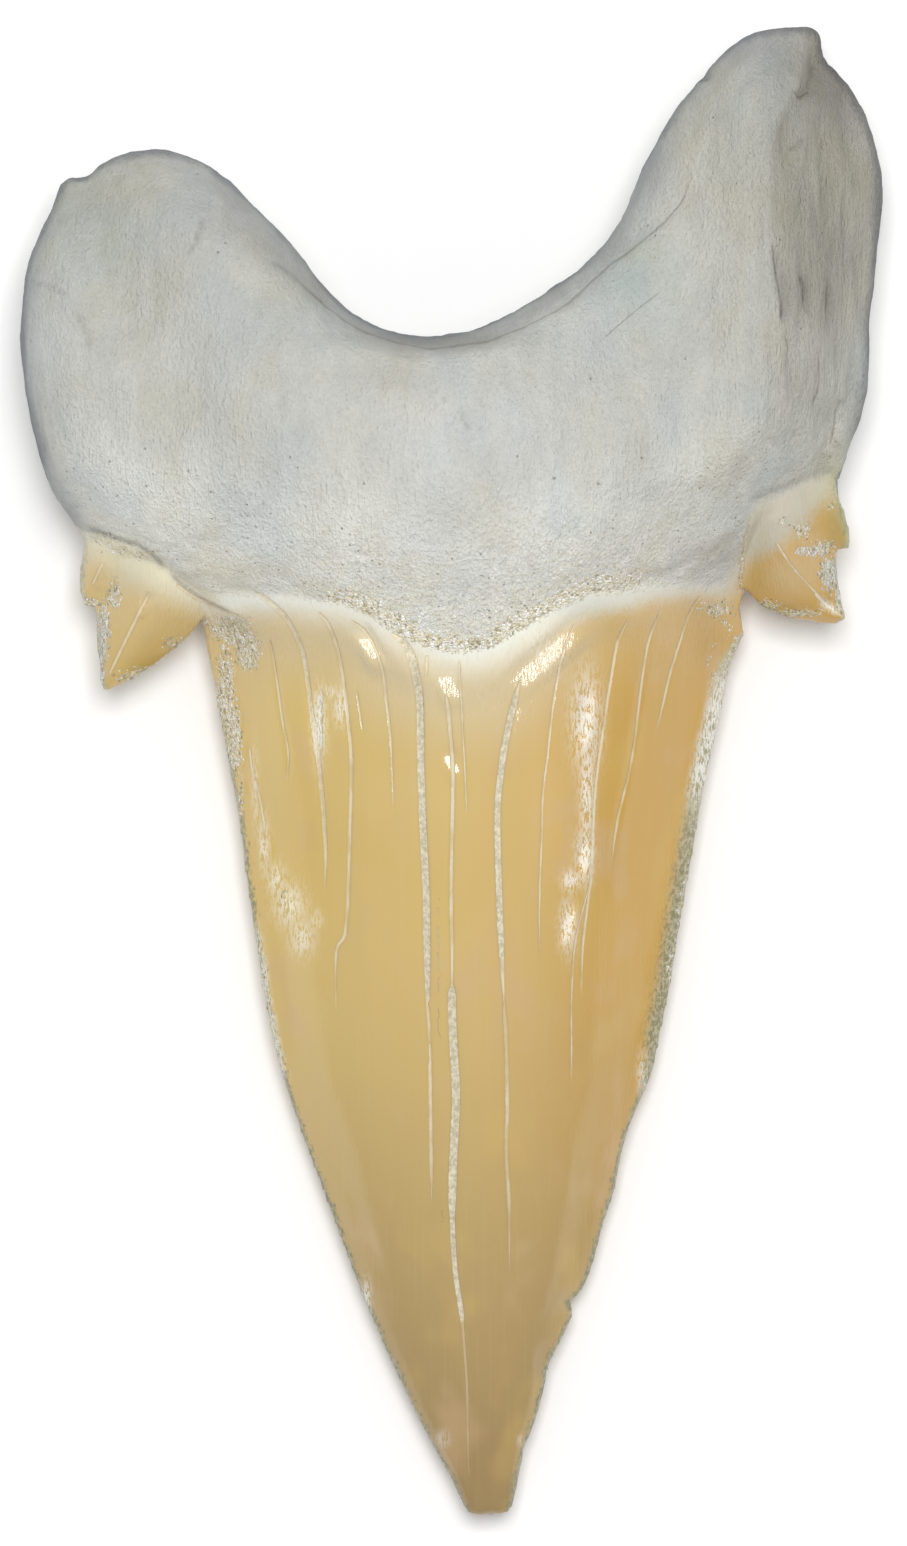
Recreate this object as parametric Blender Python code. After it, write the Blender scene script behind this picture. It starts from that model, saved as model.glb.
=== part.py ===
"""A large fossil mackerel-shark tooth, one natural piece: root, tall crown and side cusplets.

It lies on its flat labial face with the convex lingual face up. X runs across the tooth,
Y from the crown's tip to the root's lobes, and Z up. The origin is at the centre of the
tooth's bounding box, on the surface that it lies on.
"""

import bmesh
import bpy
import numpy as np

# The lines below are drawn in millimetres for a tooth of DRAWN_LENGTH and scaled to TOOTH_LENGTH.
TOOTH_LENGTH = 0.0744
DRAWN_LENGTH = 74.4
SCALE = TOOTH_LENGTH / DRAWN_LENGTH

COLUMNS = 32             # quads across the body, on each face
ROOT_ROWS = 20           # quads from the root's edge to the neck
CROWN_ROWS = 44          # quads from the neck to the tip
CUSP_COLUMNS = 10
CUSP_ROWS = 8
EDGE_CROWDING = 0.7      # 0 spaces the columns evenly, 1 crowds them most towards both edges
WELD = 0.002             # points of both faces closer than this are one point

# The root's basal edge, from the left lobe's corner round the arch to the right lobe's.
BASAL_EDGE = [
    (-19.4, 29.5), (-18.6, 29.9), (-17.6, 30.1), (-16.7, 30.7), (-15.1, 31.0), (-13.6, 31.0),
    (-12.3, 30.4), (-10.9, 29.4), (-9.5, 27.8), (-7.9, 26.1), (-7.0, 24.8), (-5.6, 23.2),
    (-3.6, 22.05), (-1.3, 21.6), (0.8, 21.95), (2.9, 22.8), (5.4, 24.3), (7.4, 25.8),
    (8.1, 27.0), (9.3, 29.4), (10.5, 31.8), (11.9, 34.0), (13.3, 35.6), (14.8, 36.8),
    (17.2, 37.2), (18.3, 37.0), (18.7, 35.9),
]
LEFT_LOBE_EDGE = [
    (-19.4, 29.5), (-20.5, 27.0), (-21.2, 25.2), (-21.5, 22.6), (-21.4, 20.0), (-20.9, 17.0),
    (-20.1, 14.2), (-19.3, 13.1), (-18.4, 11.9),
]
RIGHT_LOBE_EDGE = [
    (18.7, 35.9), (19.3, 34.9), (20.9, 31.8), (21.5, 29.0), (21.25, 25.8), (20.9, 21.8),
    (20.6, 18.2), (20.0, 16.6), (19.5, 15.4), (19.3, 14.2),
]
# Where the root ends on each face. The lingual line is a V, the labial one a shallow arch.
LINGUAL_NECK = [
    (-18.4, 11.9), (-16.7, 11.5), (-14.7, 10.8), (-12.5, 10.1), (-10.0, 9.6), (-7.2, 9.2),
    (-5.2, 8.8), (-3.5, 7.8), (-2.0, 6.7), (0.2, 6.1), (2.0, 6.7), (3.6, 8.0), (5.2, 9.2),
    (7.6, 10.1), (10.0, 10.7), (12.4, 11.9), (14.6, 13.1), (16.6, 13.8), (19.3, 14.2),
]
LABIAL_NECK = [
    (-18.4, 11.9), (-12.0, 11.4), (-6.0, 10.4), (0.5, 10.0), (7.0, 10.9), (13.0, 12.8), (19.3, 14.2),
]
# The body under the cusplets and then the cutting edge, down to the tip.
LEFT_BLADE = [
    (-18.4, 11.9), (-16.4, 10.8), (-14.2, 9.2), (-12.3, 7.6), (-12.0, 6.2), (-11.6, 3.6),
    (-11.1, 0.6), (-10.5, -2.4), (-10.15, -5.4), (-9.7, -8.4), (-9.2, -11.4), (-8.6, -14.4),
    (-7.6, -17.4), (-6.5, -20.4), (-5.4, -23.4), (-4.25, -26.4), (-2.9, -29.4), (-1.5, -32.4),
    (0.2, -35.4), (1.1, -36.8),
]
RIGHT_BLADE = [
    (19.3, 14.2), (17.4, 12.6), (15.8, 10.6), (14.6, 8.7), (14.35, 6.6), (13.9, 5.0),
    (13.2, 2.2), (12.5, -0.9), (11.8, -4.9), (11.2, -8.4), (10.65, -11.6), (10.25, -13.4),
    (9.93, -15.1), (8.13, -20.8), (6.88, -25.0), (5.88, -27.6), (3.78, -33.3), (2.8, -36.8),
]
TIP_EDGE = [(1.1, -36.8), (1.55, -37.15), (2.35, -37.15), (2.8, -36.8)]

# Chips broken out of the right cutting edge: the middle of each, half its length, its depth.
EDGE_CHIPS = [
    (-18.1, 2.35, 0.45), (-22.6, 1.5, 0.2), (-26.45, 0.65, 0.34), (-29.6, 2.1, 0.47),
    (-34.2, 0.75, 0.22),
]
CHIP_FACE = 0.06         # least width of the blunt face that a chip leaves

# Heights down the crown's middle, as (y, height) pairs from the tip to the neck: its upper
# face over its cutting edges, the cutting edges, and its under face.
CROWN_FRONT = [
    (-37.2, 0.2), (-36.4, 0.9), (-33.0, 1.7), (-28.0, 2.8), (-20.0, 4.8), (-10.0, 6.8),
    (0.0, 8.1), (7.0, 8.5),
]
BLADE_RIM = [
    (-37.2, 2.6), (-30.0, 2.15), (-20.0, 2.1), (-8.0, 2.45), (7.0, 2.9), (11.0, 4.2), (15.0, 5.0),
]
LABIAL_FACE = [
    (-37.2, 1.9), (-34.0, 1.25), (-28.0, 0.55), (-20.0, 0.06), (-14.0, -0.1), (6.0, -0.1), (11.0, 0.2),
]
CROWN_LENS = 2.1         # how squarely the crown's upper face rounds over to its edges
LABIAL_LENS = 2.6        # and its under face
# Swellings of the crown's upper face: centre, reach, and height as a share of the crown's.
CROWN_RELIEF = [((4.6, -3.0), (1.6, 9.0), 0.05), ((-6.6, -7.0), (2.2, 6.0), -0.03)]
LINGUAL_STEP = (-2.4, 2.8)  # where the crown's face turns into the root's, from the neck line
LABIAL_STEP = (-0.2, 0.9)
NECK_GROOVE = 0.12       # depth of the groove under the root's lower edge
GROOVE_AT = -0.5         # its middle, from the neck line
GROOVE_REACH = 0.8

# The root's upper face, over its rim.
ROOT_PLATEAU = 6.6
BOSS_HEIGHT = 4.4
BOSS_CENTRE = (0.3, 13.6)
BOSS_REACH = (12.5, 7.6)
LOBE_FALL = 0.42         # share of the plateau lost towards the ends of the lobes
LOBE_SPAN = (19, 38)     # between these heights
SHORT_LOBE_FALL = 0.14   # and more of it on the short lobe
SHORT_LOBE_SPAN = (24, 31)
BASAL_RADIUS = (1.9, 3.6)   # rounding of the basal edge, in the arch and on the lobes
RADIUS_SPAN = (23, 31)
LEFT_SIDE_RADIUS = 3.8
RIGHT_FACET = 5.4        # width of the flat that slopes from the long lobe's ridge to its side
FACET_CURVE = 1.7        # 1 is a plain slope, more is rounder towards the ridge

# Ridges of the upper face and, below 0, its hollows: both ends, half width and height.
ROOT_RELIEF = [
    ((-12.8, 29.5), (-9.5, 18.0), 3.2, 1.1),     # the short lobe's crest
    ((15.8, 34.8), (15.5, 17.0), 2.2, 1.8),      # the long lobe's ridge
    ((-17.6, 29.4), (-17.0, 22.5), 1.6, -1.1),   # the valley behind the short lobe's corner
    ((9.5, 11.6), (18.6, 15.4), 1.3, -1.1),      # the hollow over the right shoulder
    ((-17.5, 12.9), (-8.0, 10.9), 1.2, -0.5),    # and over the left one
    ((9.0, 21.5), (12.0, 30.0), 1.8, -0.5),      # the flank of the long lobe
    ((-15.2, 24.5), (-12.6, 18.5), 1.5, -0.4),
]
# Small pits and knobs of the upper face: centre, reach and height.
ROOT_SPOTS = [
    ((12.7, 34.2), (0.5, 0.5), -0.7), ((-9.6, 24.6), (0.8, 0.6), 0.35), ((-5.5, 16.0), (1.1, 1.6), -0.3),
    ((4.6, 15.5), (1.0, 1.8), -0.3), ((-17.2, 17.5), (1.2, 1.8), -0.4), ((10.2, 17.8), (1.2, 1.6), 0.3),
]

# The root's under face, below its rim: hollow in the middle and full under both lobes.
LABIAL_DEPTH = 4.1
LABIAL_FEET = [((-14.5, 20.5), (5.5, 7.0), 1.35), ((14.8, 22.5), (5.0, 8.0), 1.35)]
LABIAL_BASAL_RADIUS = 2.6
LABIAL_SIDE_RADIUS = 3.4
LOBE_LIFT = 1.7          # the lobes' ends lift off the surface below
LIFT_SPAN = (27, 37)
ARCH_RISE = 1.0          # of the rim, in the middle of the arch
ARCH_CENTRE = (-1.0, 22.0)
ARCH_REACH = (7.0, 5.0)

# Each cusplet: its outer edge and its inner edge, both from deep in the root to the tip, then
# the height of its edges over the surface below and how far its faces stand out from them.
CUSPLETS = {
    "left": (
        [(-17.2, 15.6), (-17.8, 12.6), (-17.85, 10.0), (-17.8, 7.6), (-17.7, 5.6), (-17.4, 4.25)],
        [
            (-9.6, 13.0), (-10.7, 9.6), (-12.2, 7.55), (-12.95, 6.9), (-13.7, 6.1), (-14.8, 5.25),
            (-16.1, 4.5), (-17.1, 4.15),
        ],
        4.2, 3.9, 1.8,
    ),
    "left_outer": (
        [(-17.6, 15.4), (-18.2, 12.6), (-18.5, 10.6), (-18.6, 9.4), (-18.45, 8.5)],
        [(-13.2, 14.0), (-15.2, 11.2), (-16.6, 9.4), (-17.5, 8.5), (-18.2, 8.2)],
        4.3, 2.9, 1.6,
    ),
    "right": (
        [(18.4, 17.4), (19.1, 13.8), (19.25, 11.0), (19.3, 10.0), (19.45, 8.7), (19.7, 7.75)],
        [(12.4, 14.4), (13.9, 10.6), (14.75, 8.7), (15.6, 8.05), (16.7, 7.65), (18.2, 7.45), (19.4, 7.5)],
        4.3, 3.9, 1.8,
    ),
    "right_outer": (
        [(18.4, 18.2), (19.2, 15.2), (19.6, 13.2), (19.85, 12.2), (19.95, 11.5)],
        [(14.6, 16.2), (16.8, 13.0), (18.2, 11.6), (19.2, 11.0), (19.75, 11.1)],
        4.7, 2.9, 1.6,
    ),
}
CUSP_LENS = 1.5          # how squarely a cusplet's faces round over to its edges
CUSP_TAPER = 1.6         # how late its thickness falls away towards the tip
CUSP_TIP = 0.06          # share of the thickness left at the tip


def spline(points, steps=24):
    """A smooth line through the points, as many short steps."""
    inner = np.array(points, float)
    knots = np.vstack([2 * inner[0] - inner[1], inner, 2 * inner[-1] - inner[-2]])
    t = np.linspace(0, 1, steps, endpoint=False)[:, None]
    runs = []
    for before, start, end, after in zip(knots, knots[1:], knots[2:], knots[3:]):
        bend = 2 * before - 5 * start + 4 * end - after
        twist = 3 * start - before - 3 * end + after
        runs.append(start + 0.5 * ((end - before) * t + bend * t**2 + twist * t**3))
    return np.vstack([*runs, inner[-1:]])


def along(line, shares):
    """The points at these shares of a line's length."""
    step = np.linalg.norm(np.diff(line, axis=0), axis=1)
    reach = np.concatenate([[0], np.cumsum(step)]) / step.sum()
    return np.column_stack([np.interp(shares, reach, line[:, axis]) for axis in (0, 1)])


def profile(pairs, y):
    """A height read from (y, height) pairs, eased between them."""
    line = spline(pairs)
    return np.interp(y, line[:, 0], line[:, 1])


def smoothstep(low, high, value):
    t = np.clip((value - low) / (high - low), 0, 1)
    return t * t * (3 - 2 * t)


def distance_to(line, points):
    """How far each point of a grid lies from a line."""
    gaps = points[..., None, :] - line[None, None, ::4, :]
    return np.sqrt((gaps**2).sum(-1)).min(-1)


def bump(points, centre, reach):
    """A rounded hill, 1 at its centre, falling away over reach in X and Y."""
    return np.exp(-(((points - np.array(centre)) / np.array(reach)) ** 2).sum(-1))


def ridge(points, start, end, width):
    """A rounded ridge between two points, 1 along its crest."""
    a, b = np.array(start), np.array(end)
    share = np.clip(((points - a) @ (b - a)) / ((b - a) @ (b - a)), 0, 1)
    off = points - (a + share[..., None] * (b - a))
    return np.exp(-((off**2).sum(-1)) / width**2)


def patch(first, last, left, right, across, down):
    """A grid of points that fills the four lines: first and last run across, left and right down."""
    u = across[None, :, None]
    v = down[:, None, None]
    rows = (1 - v) * along(first, across)[None] + v * along(last, across)[None]
    sides = (1 - u) * along(left, down)[:, None] + u * along(right, down)[:, None]
    corners = (1 - v) * ((1 - u) * first[0] + u * first[-1]) + v * ((1 - u) * last[0] + u * last[-1])
    return rows + sides - corners


def shares_across(count):
    """Columns that close up towards both edges, where the faces curve most."""
    t = np.linspace(0, 1, count + 1)
    crowded = 0.5 - 0.5 * np.cos(np.pi * t)
    return (1 - EDGE_CROWDING) * t + EDGE_CROWDING * crowded


def chip_depth(y):
    """How much of the right cutting edge is broken away at this height of the tooth."""
    depth = np.zeros_like(y)
    for middle, half_length, deepest in EDGE_CHIPS:
        reach = np.clip(1 - ((y - middle) / half_length) ** 2, 0, 1)
        depth = np.maximum(depth, deepest * np.sqrt(reach))
    return depth


def body_plan(neck_points):
    """The plan of one face: its points, where each lies across (-1 to 1), and its gap to the neck."""
    neck = spline(neck_points)
    across = shares_across(COLUMNS)
    root_down = np.linspace(0, 1, ROOT_ROWS + 1) ** 1.5
    crown_share = np.linspace(0, 1, CROWN_ROWS + 1)
    crown_down = 0.8 * crown_share + 0.2 * crown_share**2
    root = patch(spline(BASAL_EDGE), neck, spline(LEFT_LOBE_EDGE), spline(RIGHT_LOBE_EDGE), across, root_down)
    crown = patch(neck, spline(TIP_EDGE), spline(LEFT_BLADE), spline(RIGHT_BLADE), across, crown_down)
    crown[:, -1, 0] -= chip_depth(crown[:, -1, 1])
    crown[:, -2, 0] = np.minimum(crown[:, -2, 0], crown[:, -1, 0] - CHIP_FACE)
    points = np.vstack([root, crown[1:]])
    beyond_neck = distance_to(neck, points)
    beyond_neck[ROOT_ROWS:] *= -1
    return points, np.broadcast_to(2 * across - 1, points.shape[:2]), beyond_neck


def rounding(distance, radius):
    """0 at an edge, rising like a quarter circle to 1 at radius."""
    t = np.clip(distance / radius, 0, 1)
    return np.sqrt(1 - (1 - t) ** 2)


def rim_height(points):
    """The height of the line where both faces meet, over the surface below."""
    blade = profile(BLADE_RIM, np.minimum(points[..., 1], BLADE_RIM[-1][0]))
    return blade + ARCH_RISE * bump(points, ARCH_CENTRE, ARCH_REACH)


def lingual_root(points):
    """The root's upper face over its rim: an arch with a boss in the middle and a ridge on each lobe."""
    x, y = points[..., 0], points[..., 1]
    lost = LOBE_FALL * smoothstep(*LOBE_SPAN, y) + SHORT_LOBE_FALL * smoothstep(*SHORT_LOBE_SPAN, y) * (x < 0)
    height = ROOT_PLATEAU * (1 - lost)
    height += BOSS_HEIGHT * bump(points, BOSS_CENTRE, BOSS_REACH)
    for start, end, width, rise in ROOT_RELIEF:
        height += rise * ridge(points, start, end, width)
    for centre, reach, rise in ROOT_SPOTS:
        height += rise * bump(points, centre, reach)
    in_arch, on_lobes = BASAL_RADIUS
    basal_radius = in_arch + (on_lobes - in_arch) * smoothstep(*RADIUS_SPAN, y)
    basal = rounding(distance_to(spline(BASAL_EDGE), points), basal_radius)
    left = rounding(distance_to(spline(LEFT_LOBE_EDGE), points), LEFT_SIDE_RADIUS)
    facet = np.clip(distance_to(spline(RIGHT_LOBE_EDGE), points) / RIGHT_FACET, 0, 1)
    return height * basal * left * (1 - (1 - facet) ** FACET_CURVE)


def lingual_crown(points, across):
    """The crown's upper face over its cutting edges: a swelling lens with a faint keel."""
    swell = 1 - np.abs(across) ** CROWN_LENS
    for centre, reach, share in CROWN_RELIEF:
        swell += share * bump(points, centre, reach)
    return profile(CROWN_FRONT, points[..., 1]) * swell


def labial_root(points):
    """The root's under face below its rim."""
    depth = LABIAL_DEPTH + ARCH_RISE * bump(points, ARCH_CENTRE, ARCH_REACH)
    for centre, reach, fullness in LABIAL_FEET:
        depth += fullness * bump(points, centre, reach)
    depth -= LOBE_LIFT * smoothstep(*LIFT_SPAN, points[..., 1])
    basal = rounding(distance_to(spline(BASAL_EDGE), points), LABIAL_BASAL_RADIUS)
    left = rounding(distance_to(spline(LEFT_LOBE_EDGE), points), LABIAL_SIDE_RADIUS)
    right = rounding(distance_to(spline(RIGHT_LOBE_EDGE), points), LABIAL_SIDE_RADIUS)
    return depth * basal * left * right


def labial_crown(points, across):
    """The crown's under face below its cutting edges, almost flat, lifting towards the tip."""
    y = np.minimum(points[..., 1], LABIAL_FACE[-1][0])
    depth = profile(BLADE_RIM, y) - profile(LABIAL_FACE, y)
    return depth * (1 - np.abs(across) ** LABIAL_LENS)


def body_heights(points, across, beyond_neck, lingual):
    """Heights of one face. The root meets the crown in a rounded step at the neck, over a shallow groove."""
    rim = rim_height(points)
    if lingual:
        on_root = smoothstep(*LINGUAL_STEP, beyond_neck)
        groove = NECK_GROOVE * np.exp(-((beyond_neck - GROOVE_AT) / GROOVE_REACH) ** 2)
        groove *= 1 - np.abs(across) ** 6
        rise = on_root * lingual_root(points) + (1 - on_root) * lingual_crown(points, across)
        heights = rim + rise - groove
    else:
        on_root = smoothstep(*LABIAL_STEP, beyond_neck)
        fall = on_root * labial_root(points) + (1 - on_root) * labial_crown(points, across)
        heights = np.maximum(rim - fall, 0)
    edge = np.zeros(points.shape[:2], bool)
    edge[[0, -1]] = True
    edge[:, [0, -1]] = True
    return np.where(edge, rim, heights)


def face_mesh(grid, points, heights, facing_up):
    """Lays a fresh grid of quads over the points, one vertex for each."""
    rows, columns = points.shape[:2]
    made = bmesh.ops.create_grid(grid, x_segments=columns - 1, y_segments=rows - 1, size=0.5)
    for vertex in made["verts"]:
        column = round((vertex.co.x + 0.5) * (columns - 1))
        row = round((0.5 - vertex.co.y) * (rows - 1))
        x, y = points[row, column]
        vertex.co = (x * SCALE, y * SCALE, heights[row, column] * SCALE)
    if not facing_up:
        faces = list({face for vertex in made["verts"] for face in vertex.link_faces})
        bmesh.ops.reverse_faces(grid, faces=faces)


def finished_object(name, grid, collection):
    """Welds the two faces along their rim and makes the object."""
    bmesh.ops.remove_doubles(grid, verts=grid.verts, dist=WELD * SCALE)
    open_edges = [edge for edge in grid.edges if edge.is_boundary]
    if open_edges:
        bmesh.ops.holes_fill(grid, edges=open_edges, sides=0)
    bmesh.ops.recalc_face_normals(grid, faces=grid.faces)
    mesh = bpy.data.meshes.new(name)
    grid.to_mesh(mesh)
    grid.free()
    mesh.shade_smooth()
    made = bpy.data.objects.new(name, mesh)
    collection.objects.link(made)
    return made


def make_body(collection):
    """Root and crown, which grew as one piece."""
    grid = bmesh.new()
    for neck, lingual in ((LINGUAL_NECK, True), (LABIAL_NECK, False)):
        points, across, beyond_neck = body_plan(neck)
        heights = body_heights(points, across, beyond_neck, lingual)
        face_mesh(grid, points, heights, lingual)
    return finished_object("fossil_shark_tooth", grid, collection)


def make_cusplet(name, outer, inner, rim, front, back, collection):
    """A small pointed side blade. Its thick base lies inside the body, and its faces meet in a ridge."""
    down = np.linspace(0, 1, CUSP_ROWS + 1)
    across = shares_across(CUSP_COLUMNS)
    outer_line, inner_line = along(spline(outer), down), along(spline(inner), down)
    u = across[None, :, None]
    points = (1 - u) * outer_line[:, None] + u * inner_line[:, None]
    lens = 1 - np.abs(2 * across - 1)[None, :] ** CUSP_LENS
    taper = (1 - down**CUSP_TAPER)[:, None] + CUSP_TIP
    grid = bmesh.new()
    for reach, facing_up in ((front, True), (-back, False)):
        face_mesh(grid, points, rim + reach * lens * taper, facing_up)
    return finished_object(name, grid, collection)


def join_to(body, piece):
    """Fuses a piece into the body with a Boolean union and hides the piece."""
    union = body.modifiers.new("join_" + piece.name, "BOOLEAN")
    union.operation = "UNION"
    union.solver = "EXACT"
    union.object = piece
    piece.hide_render = True
    piece.display_type = "WIRE"


def fossil_material():
    """Buff fossil bone and enameloid, half glossy."""
    material = bpy.data.materials.new("fossil_tooth")
    material.use_nodes = True
    shader = material.node_tree.nodes["Principled BSDF"]
    shader.inputs["Base Color"].default_value = (0.62, 0.50, 0.31, 1.0)
    shader.inputs["Roughness"].default_value = 0.45
    shader.inputs["Metallic"].default_value = 0.0
    return material


def main():
    for old in list(bpy.data.objects):
        bpy.data.objects.remove(old)
    tooth = bpy.data.collections.new("fossil_shark_tooth")
    growths = bpy.data.collections.new("cusplets")
    bpy.context.scene.collection.children.link(tooth)
    bpy.context.scene.collection.children.link(growths)

    body = make_body(tooth)
    for name, (outer, inner, rim, front, back) in CUSPLETS.items():
        join_to(body, make_cusplet("cusplet_" + name, outer, inner, rim, front, back, growths))
    body.data.materials.append(fossil_material())


main()
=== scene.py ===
import math

import bpy
import numpy as np
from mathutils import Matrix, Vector, noise


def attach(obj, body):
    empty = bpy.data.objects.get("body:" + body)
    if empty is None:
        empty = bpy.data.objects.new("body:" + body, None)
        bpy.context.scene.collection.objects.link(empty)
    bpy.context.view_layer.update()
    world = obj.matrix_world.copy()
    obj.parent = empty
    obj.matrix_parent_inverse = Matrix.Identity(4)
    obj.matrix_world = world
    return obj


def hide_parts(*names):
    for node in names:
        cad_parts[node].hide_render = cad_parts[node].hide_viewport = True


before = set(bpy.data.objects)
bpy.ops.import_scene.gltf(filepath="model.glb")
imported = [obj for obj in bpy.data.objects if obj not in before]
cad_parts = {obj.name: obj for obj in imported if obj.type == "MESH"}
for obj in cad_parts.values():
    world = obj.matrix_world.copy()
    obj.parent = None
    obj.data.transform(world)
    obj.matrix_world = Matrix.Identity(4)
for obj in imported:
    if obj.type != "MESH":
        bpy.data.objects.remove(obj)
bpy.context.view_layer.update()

# The camera looks straight down on the lingual face, as the photograph does. The photograph is
# 907 x 1546 pixels, and a pixel is 0.05 mm at the height of the tooth's outline.
MM = 0.001
PHOTO_WIDTH, PHOTO_HEIGHT = 907, 1546
PIXEL = 0.05 * MM
PHOTO_ORIGIN = (451.5, 772.5)   # the pixel where the tooth's own origin lies
OUTLINE_HEIGHT = 4 * MM
CAMERA_HEIGHT = 600 * MM

camera_data = bpy.data.cameras.new("camera")
camera_data.sensor_fit = "VERTICAL"
camera_data.sensor_height = 36
camera_data.lens = camera_data.sensor_height * (CAMERA_HEIGHT - OUTLINE_HEIGHT) / (PHOTO_HEIGHT * PIXEL)
camera_data.clip_start, camera_data.clip_end = 0.01, 20
camera = bpy.data.objects.new("camera", camera_data)
bpy.context.scene.collection.objects.link(camera)
camera.location = (
    (PHOTO_WIDTH / 2 - PHOTO_ORIGIN[0]) * PIXEL,
    (PHOTO_ORIGIN[1] - PHOTO_HEIGHT / 2) * PIXEL,
    CAMERA_HEIGHT,
)
bpy.context.scene.camera = camera


# The tooth, blank: a fossil that grew as one piece, chalky bone above and glossy enameloid below.
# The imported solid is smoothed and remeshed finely, with fewer triangles on the under face, which
# lies on the table. The fine surface is then worked by small moves of its points.
VOXEL = 0.215 * MM
UNDER_FACING = -0.35     # a point with a normal that points lower than this is on the under face
UNDER_SHARE_KEPT = 0.74
FLAT_ENOUGH = math.radians(40)

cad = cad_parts["fossil_shark_tooth"]
bpy.ops.object.select_all(action="DESELECT")
tooth = cad.copy()
tooth.data = cad.data.copy()
tooth.parent = None
tooth.name = "tooth"
for key in list(tooth.keys()):
    del tooth[key]
bpy.context.scene.collection.objects.link(tooth)
tooth.select_set(True)
bpy.context.view_layer.objects.active = tooth
bpy.ops.object.mode_set(mode="EDIT")
bpy.ops.mesh.select_all(action="SELECT")
bpy.ops.mesh.remove_doubles(threshold=0.001 * MM)
bpy.ops.mesh.tris_convert_to_quads(face_threshold=FLAT_ENOUGH, shape_threshold=FLAT_ENOUGH)
bpy.ops.object.mode_set(mode="OBJECT")
mesh = tooth.data


def finish_with(kind, **settings):
    """Adds a modifier to the tooth and applies it."""
    step = tooth.modifiers.new(kind.lower(), kind)
    for name, value in settings.items():
        setattr(step, name, value)
    bpy.ops.object.modifier_apply(modifier=step.name)


def points_and_normals():
    """Where the points of the tooth lie, in millimetres, and which way each faces."""
    place = np.empty(len(mesh.vertices) * 3)
    mesh.vertices.foreach_get("co", place)
    facing = np.empty(len(mesh.vertices) * 3, np.float32)
    mesh.vertex_normals.foreach_get("vector", facing)
    return place.reshape(-1, 3) / MM, facing.reshape(-1, 3).astype(float)


finish_with("SUBSURF", levels=1, render_levels=1)
finish_with("REMESH", mode="VOXEL", voxel_size=VOXEL, adaptivity=0)
finish_with("SMOOTH", factor=0.5, iterations=4)
under = tooth.vertex_groups.new(name="under")
facing = points_and_normals()[1]
under.add(np.flatnonzero(facing[:, 2] < UNDER_FACING).tolist(), 1.0, "REPLACE")
finish_with("DECIMATE", ratio=UNDER_SHARE_KEPT, vertex_group="under", vertex_group_factor=20)
tooth.vertex_groups.clear()
place, facing = points_and_normals()
x, y = place[:, 0], place[:, 1]
count = len(place)
upper = np.clip(facing[:, 2] * 2 + 0.5, 0, 1)
side_wall = 1 - np.abs(facing[:, 2])


def smoothstep(low, high, value):
    """Rises smoothly from 0 to 1 as the value passes from low to high."""
    t = np.clip((value - low) / (high - low), 0, 1)
    return t * t * (3 - 2 * t)


def in_mm(pixel):
    """A pixel of the photograph as a place on the tooth."""
    return np.array([pixel[0] - PHOTO_ORIGIN[0], PHOTO_ORIGIN[1] - pixel[1]]) * PIXEL / MM


def photo_line(*pixels):
    """A smooth line in millimetres through points that are given as pixels of the photograph."""
    knots = np.array([in_mm(pixel) for pixel in pixels])
    knots = np.vstack([2 * knots[0] - knots[1], knots, 2 * knots[-1] - knots[-2]])
    t = np.linspace(0, 1, 6, endpoint=False)[:, None]
    runs = []
    for before, start, end, after in zip(knots, knots[1:], knots[2:], knots[3:]):
        bend = 2 * before - 5 * start + 4 * end - after
        twist = 3 * start - before - 3 * end + after
        runs.append(start + 0.5 * ((end - before) * t + bend * t**2 + twist * t**3))
    return np.vstack([*runs, knots[-2:-1]])


def side_of(line, reach):
    """How far points lie to the left of a line, negative to its right, and how far along it."""
    gap = np.full(count, np.inf)
    share = np.zeros(count)
    low, high = line.min(0) - reach, line.max(0) + reach
    near = np.flatnonzero((x > low[0]) & (x < high[0]) & (y > low[1]) & (y < high[1]))
    nx, ny = x[near], y[near]
    best, along = np.full(len(near), np.inf), np.zeros(len(near))
    steps = len(line) - 1
    for step, ((ax, ay), (bx, by)) in enumerate(zip(line, line[1:])):
        run_x, run_y = bx - ax, by - ay
        t = ((nx - ax) * run_x + (ny - ay) * run_y) / (run_x**2 + run_y**2)
        held = np.clip(t, 0, 1)
        distance = np.hypot(nx - ax - held * run_x, ny - ay - held * run_y)
        left = run_x * (ny - ay) - run_y * (nx - ax) > 0
        closer = distance < np.abs(best)
        best = np.where(closer, np.where(left, distance, -distance), best)
        along = np.where(closer, (step + held) / steps, along)
    gap[near], share[near] = best, along
    return gap, share


WHOLE_TOOTH = 60   # a reach in millimetres that takes in every point


def gap_above(line):
    """How far points lie above a line that crosses the tooth, below it as a negative."""
    gap = np.abs(side_of(line, WHOLE_TOOTH)[0])
    return np.where(y > np.interp(x, line[:, 0], line[:, 1]), gap, -gap)


def hill(pixel, reach):
    """1 at a pixel, fading over a reach in millimetres."""
    centre = in_mm(pixel)
    return np.exp(-((x - centre[0]) / reach[0]) ** 2 - ((y - centre[1]) / reach[1]) ** 2)


SEED_STEP = 17.3


def lumps_of(size, octaves, seed):
    """Fractal noise between about -1 and 1, with its largest lumps this many millimetres long."""
    points = place / np.array(size) + seed * SEED_STEP
    return np.array([noise.fractal(Vector(point), 1.0, 2.0, octaves) for point in points])


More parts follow.
